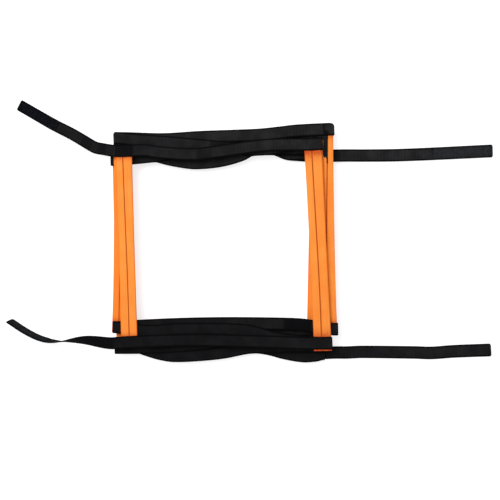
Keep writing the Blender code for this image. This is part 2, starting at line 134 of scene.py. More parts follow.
class Finish(Bench):
    """One material, built on its Principled surface, whose constants are set on their own sockets."""

    def __init__(self, name, **constants):
        self.material = bpy.data.materials.new(name)
        self.material.use_nodes = True
        super().__init__(self.material.node_tree)
        self.surface = self.tree.nodes["Principled BSDF"]
        for socket, value in constants.items():
            self.surface.inputs[socket.replace("_", " ")].default_value = value

    def mix(self, share, first, second):
        """Colour between first and second."""
        sockets = {0: share, 6: first, 7: second}
        return self.node("ShaderNodeMix", {"data_type": "RGBA"}, sockets, output=2)

    def object_place(self):
        """Place in the object's own metres."""
        return self.node("ShaderNodeTexCoord", output="Object")

    def parts(self, vector):
        """The X, Y and Z of a vector."""
        split = self.node("ShaderNodeSeparateXYZ", None, {"Vector": vector}).socket.node
        return [Wire(self, split.outputs[axis]) for axis in "XYZ"]

    def cloth_place(self):
        """Distance along the cloth and distance across it, both in metres."""
        return self.parts(self.node("ShaderNodeUVMap", {"uv_map": "cloth"}))[:2]

    def noise(self, scale, detail=3.0, stretch=(1.0, 1.0, 1.0)):
        """Cloudy pattern from 0 to 1 in the object's own metres."""
        placed = self.node("ShaderNodeMapping", None, {"Vector": self.object_place(), "Scale": stretch})
        return self.node("ShaderNodeTexNoise", None, {"Vector": placed, "Scale": scale, "Detail": detail})

    def attribute(self, name):
        return self.node("ShaderNodeAttribute", {"attribute_name": name}, output="Fac")

    def feed(self, **wires):
        """Links wires to the surface's sockets."""
        for socket, wire in wires.items():
            self.tree.links.new(wire.socket, self.surface.inputs[socket.replace("_", " ")])

    def relief(self, height, depth, strength=1.0):
        """Bump of the given depth in metres."""
        sockets = {"Height": height, "Distance": depth, "Strength": strength}
        self.feed(Normal=self.node("ShaderNodeBump", None, sockets))


floor_mesh = bpy.data.meshes.new("floor")
floor_corners = [(x * FLOOR_HALF, y * FLOOR_HALF, -FLOOR_DROP)
                 for x, y in ((-1, -1), (1, -1), (1, 1), (-1, 1))]
floor_mesh.from_pydata(floor_corners, [], [(0, 1, 2, 3)])
floor = bpy.data.objects.new("floor", floor_mesh)
bpy.context.collection.objects.link(floor)

# The floor glows only for the camera, seen straight, in a mirror or through glass, and lights nothing.
floor_paint = Finish("floor_paint", Base_Color=FLOOR_GREY, Roughness=1.0, Specular_IOR_Level=0.0,
                     Emission_Strength=FLOOR_GLOW)
ray = floor_paint.node("ShaderNodeLightPath").socket.node
straight_ray, mirror_ray, through_ray = (Wire(floor_paint, ray.outputs[kind]) for kind in (
    "Is Camera Ray", "Is Glossy Ray", "Is Transmission Ray"))
floor_paint.feed(Emission_Color=floor_paint.mix(straight_ray + mirror_ray + through_ray, BLACK, WHITE))
floor_mesh.materials.append(floor_paint.material)

world = bpy.data.worlds.new("studio")
world.use_nodes = True
bpy.context.scene.world = world
sky = Bench(world.node_tree)
backdrop = sky.tree.nodes["Background"]
backdrop.inputs["Color"].default_value = WHITE
seen_by_camera = sky.node("ShaderNodeLightPath", output="Is Camera Ray")
sockets = {"Value": seen_by_camera, "To Min": WORLD_LEVEL, "To Max": 1.0}
level = sky.node("ShaderNodeMapRange", None, sockets)
sky.tree.links.new(level.socket, backdrop.inputs["Strength"])

lamp_x, lamp_y, lamp_z = LAMP_PLACE
lamp_data = bpy.data.lights.new("soft_lamp", "AREA")
lamp_data.shape = "DISK"
lamp_data.size = LAMP_SIZE
lamp_data.energy = LAMP_POWER
lamp = bpy.data.objects.new("soft_lamp", lamp_data)
lamp.location = LAMP_PLACE
lamp.rotation_euler = (math.atan2(-lamp_y, lamp_z), math.atan2(lamp_x, lamp_z), 0.0)
bpy.context.collection.objects.link(lamp)
bottom_rung = np.array(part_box("rung_10_sleeve")).mean(axis=0)
look_at = (bottom_rung[0] + AIM_FROM_BOTTOM_RUNG[0], bottom_rung[1] + AIM_FROM_BOTTOM_RUNG[1])
camera_data = bpy.data.cameras.new("camera")
camera_data.lens = FOCAL_LENGTH
camera_data.sensor_width = SENSOR_WIDTH
camera = bpy.data.objects.new("camera", camera_data)
camera.location = (look_at[0] + CAMERA_DISTANCE * math.sin(CAMERA_LEAN), look_at[1],
                   CAMERA_DISTANCE * math.cos(CAMERA_LEAN))
camera.rotation_euler = (0.0, CAMERA_LEAN, 0.0)
bpy.context.collection.objects.link(camera)
bpy.context.scene.camera = camera
bpy.context.scene.view_settings.view_transform = "Standard"


# The strap lengths: 25 mm polypropylene webbing, woven with cross ribs and two plain edges. One
# length runs along each side of every layer, from fold to fold, sewn over the rungs of the odd
# layers. Each wanders a little sideways where the slack lies, and droops between the two stacks.
STRAP_WIDTH = 0.0254
STRAP_THICKNESS = 0.0016
STRAP_OVERHANG = 0.0006
RUNG_WIDTH = 0.036
RUNG_LENGTH = 0.4242
SLEEVE_HEIGHT = 0.0048
CLEARANCE = 0.0003
LAYERS = 9
STRAP_SPACING = RUNG_LENGTH + 2.0 * STRAP_OVERHANG - STRAP_WIDTH
WRAP_RADIUS = SLEEVE_HEIGHT / 2.0 + CLEARANCE + STRAP_THICKNESS / 2.0
TIGHT_RADIUS = (STRAP_THICKNESS + CLEARANCE) / 2.0
STRAP_SAG = 0.0040
SAG_MARGIN = 0.032
SECTION_STEP = 0.0040
RIB_PITCH = 0.0021
EDGE_BAND = 0.0038
RUNG_SPACING = 0.418
STACKS = {"left": -RUNG_SPACING / 2.0, "right": RUNG_SPACING / 2.0}
ROWS = {"upper": 1.0, "lower": -1.0}
UP = np.array([0.0, 0.0, 1.0])

# Place of each rung along X from its stack's line and along Y, and its turn from square in degrees.
RUNG_PLACES = {
    (1, "left"): (0.0115, 0.0067, 1.8),
    (1, "right"): (-0.0057, 0.0142, 2.8),
    (3, "left"): (-0.0050, 0.0367, -0.4),
    (3, "right"): (0.0110, 0.0415, 1.1),
    (5, "left"): (-0.0035, -0.0080, 1.3),
    (5, "right"): (-0.0034, 0.0050, -0.5),
    (7, "left"): (-0.0025, 0.0000, 1.2),
    (7, "right"): (-0.0086, -0.0105, -1.2),
    (9, "left"): (-0.0030, 0.0000, 1.3),
    (9, "right"): (0.0000, -0.0082, 0.0),
}

# How far past its rung's edge each left fold lies, and the one strap that lies off its rung's end.
LEFT_FOLD_REACH = {2: -0.0030, 4: 0.0035, 6: -0.0010, 8: -0.0010}
CROSSING_SHIFT = {(1, "right", "upper"): -0.0030}

# Sideways wander of each strap length: share of the way between the stacks, and distance from straight.
WANDER = {
    (1, "upper"): [(0.127, -0.0010), (0.199, -0.0060), (0.378, -0.0120), (0.545, -0.0060),
                   (0.737, 0.0010)],
    (1, "lower"): [(0.354, 0.0050), (0.665, 0.0030)],
    (2, "upper"): [(0.079, -0.0030), (0.268, -0.0060), (0.529, -0.0120), (0.713, -0.0140),
                   (0.955, 0.0030)],
    (2, "lower"): [(0.127, -0.0030), (0.306, 0.0060), (0.641, 0.0120), (0.785, 0.0010)],
    (3, "upper"): [(0.211, -0.0063), (0.400, -0.0046), (0.579, -0.0050), (0.700, -0.0052),
                   (0.800, -0.0030), (0.880, -0.0006)],
    (3, "lower"): [(0.100, 0.0038), (0.250, 0.0070), (0.400, 0.0090), (0.600, 0.0102),
                   (0.850, 0.0097), (0.920, 0.0080)],
    (4, "upper"): [(0.641, -0.0040)],
    (4, "lower"): [(0.402, -0.0080), (0.785, 0.0040)],
    (5, "upper"): [(0.070, 0.0045), (0.127, 0.0075), (0.245, -0.0060), (0.350, -0.0150),
                   (0.420, -0.0161), (0.490, -0.0143), (0.550, -0.0102), (0.610, -0.0036),
                   (0.660, 0.0050), (0.830, 0.0030)],
    (5, "lower"): [(0.040, 0.0018), (0.075, 0.0010), (0.127, -0.0059), (0.185, -0.0130),
                   (0.260, -0.0180), (0.395, -0.0163), (0.515, -0.0114), (0.660, -0.0010)],
    (6, "upper"): [(0.672, 0.0070)],
    (6, "lower"): [(0.402, 0.0020)],
    (7, "upper"): [(0.127, 0.0030), (0.378, 0.0050), (0.665, 0.0177), (0.766, 0.0157),
                   (0.842, 0.0056), (0.905, 0.0057)],
    (7, "lower"): [(0.400, 0.0060), (0.690, 0.0060), (0.750, 0.0034), (0.820, -0.0027),
                   (0.910, -0.0067), (0.970, -0.0040)],
    (8, "upper"): [(0.378, 0.0035), (0.665, 0.0175), (0.766, 0.0164), (0.842, 0.0059),
                   (0.905, 0.0052)],
    (8, "lower"): [(0.682, 0.0082), (0.880, 0.0019)],
    (9, "upper"): [(0.070, 0.0010), (0.127, 0.0045), (0.378, 0.0030), (0.665, 0.0153),
                   (0.766, 0.0141), (0.842, 0.0032)],
    (9, "lower"): [(0.330, -0.0024), (0.665, 0.0063), (0.904, -0.0048)],
}

# The layout is measured from midway between the stacks. The straight bottom rung tells where that lies.
straight = RUNG_PLACES[(9, "right")]
SHIFT = np.array([bottom_rung[0] - STACKS["right"] - straight[0], bottom_rung[1] - straight[1], 0.0])

# Where the tails begin beside the outermost rungs, and which way the left ones head off: the first and
# the last strap length run on to there.
RIGHT_TAIL_START = 0.040
TAIL_OVERHANG = 0.0020
LEFT_TAIL_SHIFT = {"upper": 0.0025, "lower": -0.0006}
LEFT_TAIL_HEADING = {"upper": 8.0, "lower": -3.0}

# How the webbing's black yarn looks, from its hollows to where the light catches it: the dim and grey ends
# of a painted glint that stands in for reflected light.
YARN_BLACK = (0.0022, 0.0022, 0.0027, 1.0)
YARN_DIM = (0.0100, 0.0102, 0.0116, 1.0)
YARN_GLINT_GREY = (0.0330, 0.0325, 0.0340, 1.0)
YARN_DUSTY = (0.0200, 0.0145, 0.0125, 1.0)
RIB_DEPTH = 0.00022
STRAND_PITCH = 0.0011
SLACK_PITCH = 0.0067
DENSE_SPOTS = 40
BAND_CREASE = math.radians(50.0)
DARK_FADE = 0.0025
DARK_RIM = 0.25

# Folds whose corners are drawn in: which edge, how far along the strap and how deep.
DRAWN_CORNERS = {(3, "upper"): (1.0, 0.0090, 0.0064), (1, "lower"): (1.0, 0.0040, 0.0026)}
SOFT_CORNER = (0.0022, 0.0010)

# Where shade is painted on the webbing as dark patches, deepest in the crease by the third fold's corner:
# begin and end along it, from the right end where negative, how far across from its lower edge, and how
# dark.
DARK_PLACES = {
    (1, "upper"): [(0.0, 0.043, 2.0, 0.75), (0.178, 0.212, 2.0, 0.40)],
    (2, "upper"): [(0.205, 0.285, 2.0, 0.55)],
    (3, "upper"): [(-0.0180, -0.0135, 2.0, 0.95), (-0.0180, -0.0060, -0.10, 0.95)],
    (3, "lower"): [(-0.106, -0.047, 2.0, 0.85)],
}


def unit(rows):
    """Rows of vectors, each over its length."""
    return rows / np.linalg.norm(rows, axis=-1, keepdims=True)


def ease(share):
    """Smooth step: 3 s squared less 2 s cubed, held between 0 and 1."""
    held = np.clip(share, 0.0, 1.0)
    return held * held * (3.0 - 2.0 * held)


def body_of(layer):
    """The body that carries a layer: the bottom one stays on the floor."""
    return "base" if layer == LAYERS else f"layer_{layer}"


def layer_height(layer):
    """Middle of a layer's webbing over the floor: by turns a layer lies on webbing and on rungs."""
    steps = LAYERS - layer
    strap_pitch = STRAP_THICKNESS + CLEARANCE
    rung_pitch = SLEEVE_HEIGHT + 2.0 * CLEARANCE + STRAP_THICKNESS
    lowest = SLEEVE_HEIGHT + CLEARANCE + STRAP_THICKNESS / 2.0
    return lowest + (steps - steps // 2) * strap_pitch + (steps // 2) * rung_pitch


def rung_height(layer):
    """Middle of the rungs that hang under a layer's webbing."""
    return layer_height(layer) - STRAP_THICKNESS / 2.0 - CLEARANCE - SLEEVE_HEIGHT / 2.0


def station(layer, side):
    """A rung's middle on the floor, unit vectors along the straps and along the rung, and its place."""
    x, y, turn = RUNG_PLACES[(layer, side)]
    angle = math.radians(turn)
    along = np.array([math.cos(angle), math.sin(angle), 0.0])
    across = np.array([-math.sin(angle), math.cos(angle), 0.0])
    return np.array([STACKS[side] + x, y, 0.0]) + SHIFT, along, across, (layer, side)


def crossing(spot, row, forward):
    """Point on a strap's centre line over a rung, forward of the rung's middle."""
    middle, along, across, place = spot
    reach = ROWS[row] * STRAP_SPACING / 2.0 + CROSSING_SHIFT.get((*place, row), 0.0)
    return middle + across * reach + along * forward


def fold_place(fold):
    """The rung beside which a fold lies: odd folds at the right, even ones at the left."""
    return station(fold, "right") if fold % 2 else station(fold + 1, "left")


def fold_forward(fold):
    """How far along the straps a fold's line lies from its rung's middle."""
    if fold % 2:
        return RUNG_WIDTH / 2.0 - SLEEVE_HEIGHT / 2.0
    return -(RUNG_WIDTH / 2.0 + LEFT_FOLD_REACH[fold]) + TIGHT_RADIUS + STRAP_THICKNESS / 2.0


def fold_radius(fold):
    """Round a rung at the right, face to face at the left."""
    return WRAP_RADIUS if fold % 2 else TIGHT_RADIUS


def run_along(points):
    """Distance travelled at each of a row of points."""
    return np.concatenate([[0.0], np.cumsum(np.linalg.norm(np.diff(points, axis=0), axis=1))])


def read_off(places, run, rows):
    """What rows of numbers come to at places along their run."""
    return np.column_stack([np.interp(places, run, column) for column in rows.T])


def plan_curve(points, start, end, step):
    """Cubic pieces through the points with chord-length knots, spaced evenly along their length."""
    spots = np.array(points, dtype=float)[:, :2]
    knots = run_along(spots)
    slopes = np.empty_like(spots)
    slopes[1:-1] = (spots[2:] - spots[:-2]) / (knots[2:] - knots[:-2])[:, None]
    slopes[0] = start[:2]
    slopes[-1] = (spots[-1] - spots[-2]) / (knots[-1] - knots[-2]) if end is None else end[:2]
    where = np.linspace(0.0, knots[-1], DENSE_SPOTS * len(spots))
    piece = np.clip(np.searchsorted(knots, where, side="right") - 1, 0, len(knots) - 2)
    length = np.diff(knots)[piece][:, None]
    share = ((where - knots[piece])[:, None]) / length
    dense = ((2 * share ** 3 - 3 * share ** 2 + 1) * spots[piece]
             + (share ** 3 - 2 * share ** 2 + share) * length * slopes[piece]
             + (3 * share ** 2 - 2 * share ** 3) * spots[piece + 1]
             + (share ** 3 - share ** 2) * length * slopes[piece + 1])
    run = run_along(dense)
    stops = np.linspace(0.0, run[-1], max(int(run[-1] / step), 4) + 1)
    return read_off(stops, run, dense), stops


def band_frame(plan, run, height, turn):
    """Centres with the directions across the band and off its face, turned about its length."""
    centre = np.column_stack([plan, height])
    along = unit(np.gradient(centre, run, axis=0))
    along = np.where(along[:, :1] < 0.0, -along, along)
    level = unit(np.cross(UP, along))
    upright = np.cross(along, level)
    cos, sin = np.cos(turn)[:, None], np.sin(turn)[:, None]
    return centre, level * cos + upright * sin, upright * cos - level * sin


def band_profile(half_width, half_height, count=13):
    """Outline across a band, as shares of its width and height: flat faces, fuller edges, round rims."""
    across = np.sin(np.linspace(-0.5, 0.5, count) * math.pi)
    swell = 0.90 + 0.10 * np.exp(-((np.abs(across) - 0.90) / 0.06) ** 2)
    rim = np.sqrt(np.clip(1.0 - np.clip((np.abs(across) * half_width - (half_width - half_height))
                                        / half_height, 0.0, 1.0) ** 2, 0.0, 1.0))
    top = np.column_stack([across[::-1], (swell * rim)[::-1]])
    bottom = np.column_stack([across[1:-1], -(swell * rim)[1:-1]])
    return np.vstack([top, bottom])


def cloth_map(mesh, along, across, looks):
    """Gives a skin its distances along and across the cloth, in metres, and what its finish reads."""
    corner = np.empty(len(mesh.loops), dtype=np.int32)
    mesh.loops.foreach_get("vertex_index", corner)
    cloth = mesh.uv_layers.new(name="cloth")
    cloth.uv.foreach_set("vector", np.column_stack([along[corner], across[corner]]).ravel())
    for label, values in looks.items():
        mesh.attributes.new(label, "FLOAT", "POINT").data.foreach_set("value", values.ravel())


def ring_quads(rings, around, total):
    """Quads from each ring of points to the next one, and from the last of all to the first."""
    row, column = np.meshgrid(np.arange(rings), np.arange(around), indexing="ij")
    following, after = (column + 1) % around, (row + 1) % total
    return np.stack([row * around + column, row * around + following, after * around + following,
                     after * around + column], axis=-1).reshape(-1, 4)


def swept_mesh(name, rings, along, girth, painted_shade):
    """Closed skin over rings of points, each joined to the next, with a flat cap at each end."""
    count, around = rings.shape[:2]
    points = np.vstack([rings.reshape(-1, 3), rings[0].mean(axis=0), rings[-1].mean(axis=0)])
    quads = ring_quads(count - 1, around, count)
    ring = np.arange(around)
    step = (ring + 1) % around
    start, end = (np.full(around, count * around + tip) for tip in (0, 1))
    start_cap = np.column_stack([start, step, ring])
    end_cap = np.column_stack([end, (count - 1) * around + ring, (count - 1) * around + step])
    mesh = bpy.data.meshes.new(name)
    mesh.from_pydata(points.tolist(), [], quads.tolist() + start_cap.tolist() + end_cap.tolist())
    reach = np.concatenate([np.repeat(along, around), [along[0], along[-1]]])
    spread = np.concatenate([np.tile(girth, count), [0.0, 0.0]])
    padded = np.concatenate([painted_shade.ravel(), [painted_shade[0].mean(), painted_shade[-1].mean()]])
    cloth_map(mesh, reach, spread, {"painted_shade": padded})
    mesh.shade_smooth()
    mesh.set_sharp_from_angle(angle=BAND_CREASE)
    return mesh


def face_out(mesh):
    """Turns every face outwards: the triangles' signed volumes with the origin have to sum above 0."""
    corners = np.empty(len(mesh.vertices) * 3)
    mesh.vertices.foreach_get("co", corners)
    corners = corners.reshape(-1, 3)
    mesh.calc_loop_triangles()
    triangles = np.empty(len(mesh.loop_triangles) * 3, dtype=np.int32)
    mesh.loop_triangles.foreach_get("vertices", triangles)
    a, b, c = (corners[triangles.reshape(-1, 3)[:, index]] for index in range(3))
    volume = np.einsum("ij,ij->i", a, np.cross(b, c)).sum()
    if volume < 0.0:
        mesh.flip_normals()


def add_piece(name, mesh, finish):
    """A piece at the origin, with its place in its mesh."""
    face_out(mesh)
    mesh.materials.append(finish.material)
    piece = bpy.data.objects.new(name, mesh)
    bpy.context.collection.objects.link(piece)
    return piece


def band_mesh(name, centre, across, normal, run, width=STRAP_WIDTH, thickness=STRAP_THICKNESS,
              trims=(0.0, 0.0), dark=()):
    """A band: its profile carried along the centre line, with its two edges trimmed in where given.
    Its dark places of painted shade are smooth steps up and down along the run, from a share of the width
    outwards."""
    profile = band_profile(width / 2.0, thickness / 2.0)
    share = profile[None, :, :1]
    left, right = (width / 2.0 - np.broadcast_to(trim, len(run))[:, None, None] for trim in trims)
    rings = (centre[:, None] + across[:, None] * share * np.where(share > 0.0, left, right)
             + normal[:, None] * profile[None, :, 1:] * thickness / 2.0)
    painted_shade = np.zeros(rings.shape[:2])
    for begin, end, reach, strength in dark:
        begin, end = (place + run[-1] if place < 0.0 else place for place in (begin, end))
        lengthways = ease((run - begin) / DARK_FADE) * ease((end - run) / DARK_FADE)
        widthways = ease((reach - profile[None, :, 0]) / DARK_RIM)
        painted_shade = np.maximum(painted_shade, strength * lengthways[:, None] * widthways)
    return swept_mesh(name, rings, run, profile[:, 0] * width / 2.0, painted_shade)


def rounding(distance, reach, depth):
    """Cut from an edge near a corner: a quarter ellipse, at its full depth where the distance is 0."""
    left = np.clip(1.0 - distance / reach, 0.0, 1.0)
    return depth * (1.0 - np.sqrt(1.0 - left ** 2))


def corner_trims(fold, row, distance):
    """Cut from both edges of a band at a distance, in plan, from its fold's outermost line."""
    side, reach, depth = DRAWN_CORNERS.get((fold, row), (0.0, *SOFT_CORNER))
    soft, drawn = rounding(distance, *SOFT_CORNER), rounding(distance, reach, depth)
    return np.array([drawn if side > 0.0 else soft, drawn if side < 0.0 else soft])


def span_place(layer):
    """The rungs at a layer's two ends, and how far forward of them its folds lie."""
    if layer % 2:
        left, right = station(layer, "left"), station(layer, "right")
        before, after = layer - 1, layer
    else:
        left, right = station(layer + 1, "left"), station(layer - 1, "right")
        before, after = layer, layer - 1
    return left, before, right, after


def droop(x):
    """Height lost between the stacks: one squared sine over the span."""
    start = SHIFT[0] + STACKS["left"] + SAG_MARGIN
    share = np.clip((x - start) / (RUNG_SPACING - 2.0 * SAG_MARGIN), 0.0, 1.0)
    return -STRAP_SAG * np.sin(math.pi * share) ** 2


def left_tail_start(row):
    """Where a left tail leaves the top rung, on the floor plan."""
    place = station(1, "left")
    return crossing(place, row, -RUNG_WIDTH / 2.0 - TAIL_OVERHANG) + place[2] * LEFT_TAIL_SHIFT[row]


def left_tail_heading(row):
    """The way a left tail heads off, level, turned a little from its rung's own."""
    turn = math.radians(RUNG_PLACES[(1, "left")][2] - LEFT_TAIL_HEADING[row])
    return np.array([-math.cos(turn), -math.sin(turn), 0.0])


def span_frame(layer, row):
    """The whole course of one strap length between its two fold lines."""
    left, before, right, after = span_place(layer)
    if layer == 1:
        first, heading = left_tail_start(row), -left_tail_heading(row)
    else:
        first, heading = crossing(left, row, fold_forward(before)), left[1]
    stop = RIGHT_TAIL_START if layer == LAYERS else fold_forward(after)
    last = crossing(right, row, stop)
    points = [first]
    for share_of_span, offset in WANDER[(layer, row)]:
        x = SHIFT[0] + STACKS["left"] + share_of_span * RUNG_SPACING
        share = (x - first[0]) / (last[0] - first[0])
        points.append(first + (last - first) * share + np.array([0.0, offset, 0.0]))
    plan, run = plan_curve(points + [last], heading, right[1], SECTION_STEP)
    height = layer_height(layer) + droop(plan[:, 0])
    return *band_frame(plan, run, height, np.zeros(len(run))), run


def webbing_finish(name, dim, glint_colour, rib_depth):
    """Black yarn: rounded cross ribs between plain edges, with a painted glint that greys it towards +X
    and +Y.
    """
    finish = Finish(name, Roughness=0.85, Specular_IOR_Level=0.035)
    along, across = finish.cloth_place()
    x, y, _ = finish.parts(finish.object_place())
    # Painted glint: the yarn is painted greyer towards +X and +Y, standing in for light reflected off its
    # face.
    painted_glint_ramp = 0.35 + x * 0.9 + y * 1.2
    edge = across.size().between(STRAP_WIDTH / 2.0 - EDGE_BAND, STRAP_WIDTH / 2.0 - EDGE_BAND * 0.5)
    yarn = finish.noise(900.0, 2.0)
    ribs = along.wave(RIB_PITCH).power(0.6) * (1.0 - edge)
    slack = along.wave(SLACK_PITCH) * finish.noise(60.0, 2.0)
    strands = across.wave(STRAND_PITCH) * 0.35
    worn = finish.noise(34.0, 4.0).between(0.36, 0.66)
    dusty = finish.noise(48.0, 2.0).between(0.40, 0.62)
    shade = ribs * 0.44 + worn * 0.27 + slack * 0.22 + yarn * 0.20
    # Darker at the plain edges, and painted shade at the dark places.
    unshaded = (1.0 - edge * 0.95) * (1.0 - finish.attribute("painted_shade"))
    light = finish.mix(painted_glint_ramp.between(-0.15, 1.0), dim, glint_colour)
    light = finish.mix(dusty * 0.5, light, finish.mix(0.5, light, YARN_DUSTY))
    finish.feed(Base_Color=finish.mix(shade * unshaded, YARN_BLACK, light), Roughness=0.74 + yarn * 0.18)
    finish.relief(ribs + strands + yarn * 0.4, rib_depth, 0.9)
    return finish


webbing = webbing_finish("strap_webbing", YARN_DIM, YARN_GLINT_GREY, RIB_DEPTH)

for layer in range(1, LAYERS + 1):
    _, before, _, after = span_place(layer)
    for row in ROWS:
        node = f"strap_{row}_{layer}"
        centre, across, normal, run = span_frame(layer, row)
        trims = np.zeros((2, len(run)))
        if before:
            trims += corner_trims(before, row, run + fold_radius(before))
        if after < LAYERS:
            trims += corner_trims(after, row, run[-1] - run + fold_radius(after))
        dark = DARK_PLACES.get((layer, row), ())
        mesh = band_mesh(node, centre, across, normal, run, trims=trims, dark=dark)
        piece = add_piece(f"webbing_{row}_{layer}", mesh, webbing)
        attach(piece, body_of(layer))
        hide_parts(node)


# The stitches that hold the straps on the rungs: black thread, sewn through strap and sleeve in a box
# at every crossing. Each stitch is a short arc whose two ends sink into the webbing.
THREAD_RADIUS = 0.00034
STITCH_PITCH = 0.0031
STITCH_LENGTH = STITCH_PITCH * 0.66
BOX_STITCH = (0.0125, 0.0092)
THREAD_DARK = (0.003, 0.003, 0.004, 1.0)
THREAD_LIGHT = (0.014, 0.014, 0.016, 1.0)

thread = Finish("black_thread", Roughness=0.55, Specular_IOR_Level=0.15)
lint = thread.noise(1400.0, 2.0)
thread.feed(Base_Color=thread.mix(lint, THREAD_DARK, THREAD_LIGHT), Roughness=0.45 + lint * 0.3)


def stitch_mesh(name, starts, ends, normals):
    """Threads, one arc a stitch: its height is a half sine of its length, and its ends sink in."""
    share = np.linspace(0.0, 1.0, 5)
    turn = np.linspace(0.0, 2.0 * math.pi, 6, endpoint=False)
    rise = np.sin(math.pi * share)
    heading = unit(ends - starts)
    side = np.cross(heading, normals)
    spine = (starts[:, None] + (ends - starts)[:, None] * share[None, :, None]
             + normals[:, None] * (rise * THREAD_RADIUS * 1.3 - THREAD_RADIUS * 0.7)[None, :, None])
    girth = (THREAD_RADIUS * (0.55 + 0.45 * rise))[None, :, None, None]
    spokes = (side[:, None, None] * np.cos(turn)[None, None, :, None]
              + normals[:, None, None] * np.sin(turn)[None, None, :, None])
    points = spine[:, :, None] + spokes * girth
    count, rings, around = points.shape[:3]
    begin = np.arange(count)[:, None] * rings * around
    quads = (begin + ring_quads(rings - 1, around, rings).reshape(1, -1)).reshape(-1, 4)
    first = begin + np.arange(around)
    last = first + (rings - 1) * around
    faces = quads.tolist() + first[:, ::-1].tolist() + last.tolist()
    mesh = bpy.data.meshes.new(name)
    mesh.from_pydata(points.reshape(-1, 3).tolist(), [], faces)
    mesh.shade_smooth()
    return mesh


def stitch_line(path, normals):
    """Starts, ends and normals of the stitches that follow a line, two thirds thread and a third gap."""
    run = run_along(path)
    begins = np.arange(0.0, run[-1] - STITCH_LENGTH, STITCH_PITCH)
    return (read_off(begins, run, path), read_off(begins + STITCH_LENGTH, run, path),
            unit(read_off(begins, run, normals)))


def sew(name, lines, body):
    """One piece of thread from several stitched lines, carried by a body."""
    starts, ends, normals = (np.concatenate(part) for part in zip(*lines))
    piece = add_piece(name, stitch_mesh(name, starts, ends, normals), thread)
    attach(piece, body)


def box_stitches(layer, side, row):
    """The four sewn lines that hold a strap on a rung, as a box round their crossing."""
    spot = station(layer, side)
    middle = crossing(spot, row, 0.0) + UP * (layer_height(layer) + STRAP_THICKNESS / 2.0)
    long, short = spot[1] * BOX_STITCH[0], spot[2] * BOX_STITCH[1]
    corners = middle + np.array([long + short, short - long, -long - short, long - short, long + short])
    return [stitch_line(corners[index:index + 2], np.array([UP, UP])) for index in range(4)]


for layer in range(1, LAYERS + 1, 2):
    for row in ROWS:
        lines = box_stitches(layer, "left", row) + box_stitches(layer, "right", row)
        sew(f"stitches_{row}_{layer}", lines, body_of(layer))


# The folds: where the webbing turns back on itself. On the right it goes round the edge of the rung
# sewn under it, on the left the two layers lie face to face and the bend is tight.
# Each is the same yarn as the straps.
FOLD_STEPS = 20


def fold_frame(fold, row):
    """Half a turn about the fold's line, from the upper layer down to the lower one."""
    spot = fold_place(fold)
    outward = spot[1] if fold % 2 else -spot[1]
    height = (layer_height(fold) + layer_height(fold + 1)) / 2.0
    axis = crossing(spot, row, fold_forward(fold)) + UP * height
    angle = np.linspace(0.0, math.pi, FOLD_STEPS + 1)
    normal = outward * np.sin(angle)[:, None] + UP * np.cos(angle)[:, None]
    across = np.repeat(spot[2][None], FOLD_STEPS + 1, axis=0)
    return axis, angle, axis + normal * fold_radius(fold), across, normal


for fold in range(1, LAYERS):
    radius = fold_radius(fold)
    for row in ROWS:
        axis, angle, centre, across, normal = fold_frame(fold, row)
        trims = corner_trims(fold, row, radius * (1.0 - np.sin(angle)))
        mesh = band_mesh("fold", centre, across, normal, angle * radius, trims=trims)
        piece = add_piece(f"bend_{row}_{fold}", mesh, webbing)
        tuple(axis + UP * radius)
        tuple(axis - UP * radius)
        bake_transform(piece)
        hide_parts(f"fold_{row}_{fold}")


# The tails: the straps' loose ends, of the same webbing. The left ones hang off the top rung by a short
# root, and the lower one has turned over onto its edge. The right ones come out from under the pile and
# lie flat. All four are cut straight, with small round corners.
ROOT_LENGTH = 0.0250
TAIL_DROP = 0.270

# Courses of the tails over the floor, from their strap's crossing with the rung they start at, and how far
# the left ones turn about their own length, in degrees.
LEFT_TAIL_ROUTES = {
    "upper": [(-0.045, 0.0063), (-0.0636, 0.0106), (-0.0919, 0.0263), (-0.1208, 0.0424),
              (-0.166, 0.0648), (-0.1956, 0.0807), (-0.2582, 0.1157)],
    "lower": [(-0.0405, -0.0031), (-0.0995, 0.0007), (-0.171, -0.0051), (-0.2094, -0.0002),
              (-0.2475, 0.0144), (-0.2886, 0.0375)],
}
TWIST = {"upper": 0.0, "lower": 102.0}
TWIST_START = 0.010
TWIST_LENGTH = 0.174
RIGHT_TAIL_RAMP = 0.045
RIGHT_TAIL_ROUTES = {
    "upper": [(0.1565, -0.0014), (0.334, 0.0025)],
    "lower": [(0.080, 0.0018), (0.1845, 0.0034), (0.217, 0.0033), (0.2595, 0.0075), (0.331, 0.0122)],
}
TAIL_CORNER = 0.0030
TAIL_STEP = 0.0030
PART_STEP = 0.0018
TAPE_THICKNESS = 0.0012
TAIL_THICKNESS = {("left", "lower"): 0.0021}
# Painted shade on the tails, in the same columns as the straps' dark places.
TAIL_DARK_PLACES = {
    ("left", "upper"): [(0.018, 0.040, 2.0, 0.40), (0.052, 0.082, 2.0, 0.50)],
    ("left", "lower"): [(0.014, 0.110, 2.0, 0.62)],
}
# The dim and grey ends of the tails' painted glint.
TAIL_DIM = (0.0080, 0.0083, 0.0100, 1.0)
TAIL_GLINT_GREY = (0.0330, 0.0325, 0.0345, 1.0)
TAIL_RIB_DEPTH = 0.00026

tail_webbing = webbing_finish("tail_webbing", TAIL_DIM, TAIL_GLINT_GREY, TAIL_RIB_DEPTH)


